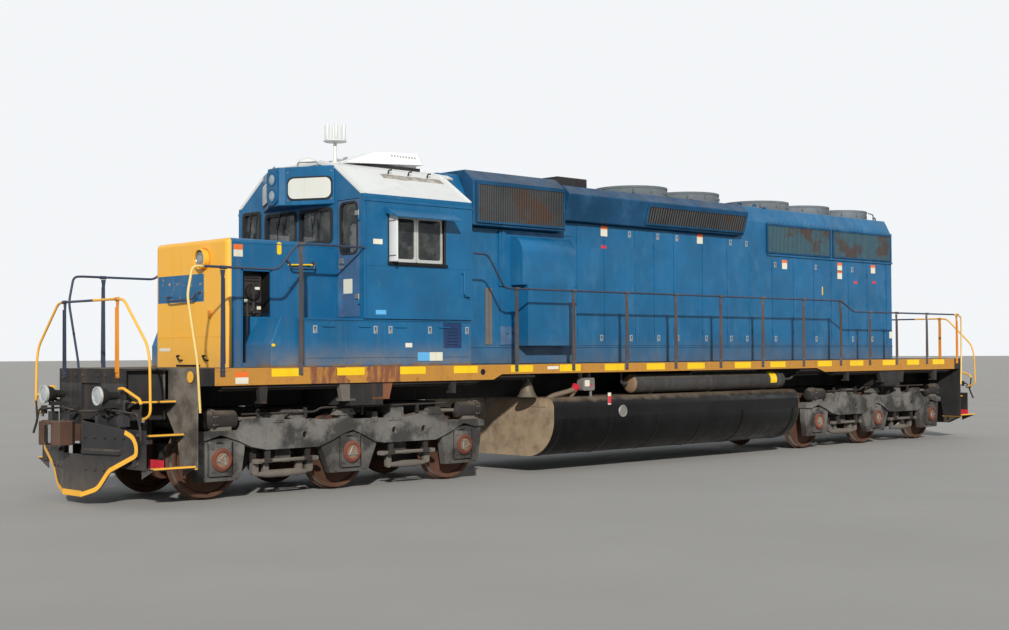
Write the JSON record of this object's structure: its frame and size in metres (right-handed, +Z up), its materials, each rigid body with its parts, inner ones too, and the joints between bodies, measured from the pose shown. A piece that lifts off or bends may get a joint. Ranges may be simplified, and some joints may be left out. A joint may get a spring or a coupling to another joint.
{
  "type": "six-axle diesel locomotive",
  "caption": "Diesel road locomotive with a low short hood, hollow cab, long hood with roof fans, and swivelling trucks on rail wheels.",
  "frame": {"origin": "middle of the locomotive at the tips of its wheel flanges, the bottom centre of its box", "axes": "+X towards the short hood end, +Y its left side, +Z up"},
  "size_m": [20.98, 3.6, 5.1498],
  "materials": {
    "black": "satin, dusty",
    "blue": "satin, weathered",
    "brass": "dull",
    "fan_metal": "dull",
    "glass": "clear",
    "grey": "satin",
    "grille": "dusty",
    "lamp": "satin",
    "rail_grey": "satin",
    "rust": "rusty",
    "seat": "worn",
    "truck": "dusty",
    "underframe": "satin, dusty",
    "wheel": "rusty with a bright tread",
    "white": "satin",
    "yellow": "satin, worn"
  },
  "bodies": {
    "carbody": {"air_conditioner": "white", "antenna_array": "white", "battery_boxes": "blue", "bell": "brass", "blower_duct": "blue", "brake_grilles": "grille", "brake_hatch": "blue", "cab_floor": "blue", "cab_glass": "glass", "cab_roof": "white", "cab_shell": "blue", "control_stand": "grey", "crew_seats": "seat", "end_rails": "yellow", "engine": "grey", "exhaust_stack": "rust", "fan_rings": "fan_metal", "filter_compartment": "blue", "filter_grilles": "grille", "fuel_tank": "black", "hand_brake": "black", "handrail_left": "rail_grey", "handrail_right": "rail_grey", "hood_doors": "blue", "lamps": "lamp", "long_hood": "blue", "main_reservoirs": "black", "number_housing": "blue", "pilots": "black", "radiator_grilles": "grille", "short_hood": "yellow", "underframe": "underframe", "window_awnings": "blue"},
    "truck_front": {"truck_frame_front": "truck", "journal_boxes_front": "truck", "truck_bolster_front": "truck", "traction_motors_front": "truck", "brake_gear_front": "truck"},
    "truck_rear": {"truck_frame_rear": "truck", "journal_boxes_rear": "truck", "truck_bolster_rear": "truck", "traction_motors_rear": "truck", "brake_gear_rear": "truck"},
    "wheelset_1": {"wheelset_1": "wheel"},
    "wheelset_2": {"wheelset_2": "wheel"},
    "wheelset_3": {"wheelset_3": "wheel"},
    "wheelset_4": {"wheelset_4": "wheel"},
    "wheelset_5": {"wheelset_5": "wheel"},
    "wheelset_6": {"wheelset_6": "wheel"},
    "fan_1": {"fan_1": "fan_metal"},
    "fan_2": {"fan_2": "fan_metal"},
    "fan_3": {"fan_3": "fan_metal"},
    "fan_4": {"fan_4": "fan_metal"},
    "fan_5": {"fan_5": "fan_metal"},
    "cab_door_front": {"cab_door_front": "blue"},
    "cab_door_rear": {"cab_door_rear": "blue"},
    "coupler_front": {"coupler_front": "rust"},
    "coupler_rear": {"coupler_rear": "rust"}
  },
  "joints": [
    {"name": "truck_front_swivel", "type": "hinge", "parent": "carbody", "child": "truck_front", "pos_m": [6.63, 0, 1.15], "axis": [0, 0, 1], "range_deg": [-6.5, 6.5]},
    {"name": "truck_rear_swivel", "type": "hinge", "parent": "carbody", "child": "truck_rear", "pos_m": [-6.63, 0, 1.15], "axis": [0, 0, 1], "range_deg": [-6.5, 6.5]},
    {"name": "wheelset_1_spin", "type": "hinge", "parent": "truck_front", "child": "wheelset_1", "pos_m": [8.7, 0, 0.536], "axis": [0, 1, 0], "continuous": true},
    {"name": "wheelset_2_spin", "type": "hinge", "parent": "truck_front", "child": "wheelset_2", "pos_m": [6.63, 0, 0.536], "axis": [0, 1, 0], "continuous": true},
    {"name": "wheelset_3_spin", "type": "hinge", "parent": "truck_front", "child": "wheelset_3", "pos_m": [4.56, 0, 0.536], "axis": [0, 1, 0], "continuous": true},
    {"name": "wheelset_4_spin", "type": "hinge", "parent": "truck_rear", "child": "wheelset_4", "pos_m": [-4.56, 0, 0.536], "axis": [0, 1, 0], "continuous": true},
    {"name": "wheelset_5_spin", "type": "hinge", "parent": "truck_rear", "child": "wheelset_5", "pos_m": [-6.63, 0, 0.536], "axis": [0, 1, 0], "continuous": true},
    {"name": "wheelset_6_spin", "type": "hinge", "parent": "truck_rear", "child": "wheelset_6", "pos_m": [-8.7, 0, 0.536], "axis": [0, 1, 0], "continuous": true},
    {"name": "fan_1_spin", "type": "hinge", "parent": "carbody", "child": "fan_1", "pos_m": [-0.5, 0, 4.66], "axis": [0, 0, 1], "continuous": true},
    {"name": "fan_2_spin", "type": "hinge", "parent": "carbody", "child": "fan_2", "pos_m": [-1.98, 0, 4.66], "axis": [0, 0, 1], "continuous": true},
    {"name": "fan_3_spin", "type": "hinge", "parent": "carbody", "child": "fan_3", "pos_m": [-4.17, 0, 4.66], "axis": [0, 0, 1], "continuous": true},
    {"name": "fan_4_spin", "type": "hinge", "parent": "carbody", "child": "fan_4", "pos_m": [-5.56, 0, 4.66], "axis": [0, 0, 1], "continuous": true},
    {"name": "fan_5_spin", "type": "hinge", "parent": "carbody", "child": "fan_5", "pos_m": [-6.95, 0, 4.66], "axis": [0, 0, 1], "continuous": true},
    {"name": "cab_door_front_swing", "type": "hinge", "parent": "carbody", "child": "cab_door_front", "pos_m": [6.712, 1.427, 3.185], "axis": [0, 0, 1], "range_deg": [0, 90]},
    {"name": "cab_door_rear_swing", "type": "hinge", "parent": "carbody", "child": "cab_door_rear", "pos_m": [4.708, -1.427, 3.185], "axis": [0, 0, 1], "range_deg": [0, 90]},
    {"name": "coupler_front_swing", "type": "hinge", "parent": "carbody", "child": "coupler_front", "pos_m": [9.42, 0, 0.904], "axis": [0, 0, 1], "range_deg": [-7, 7]},
    {"name": "coupler_rear_swing", "type": "hinge", "parent": "carbody", "child": "coupler_rear", "pos_m": [-9.42, 0, 0.904], "axis": [0, 0, 1], "range_deg": [-7, 7]}
  ]
}
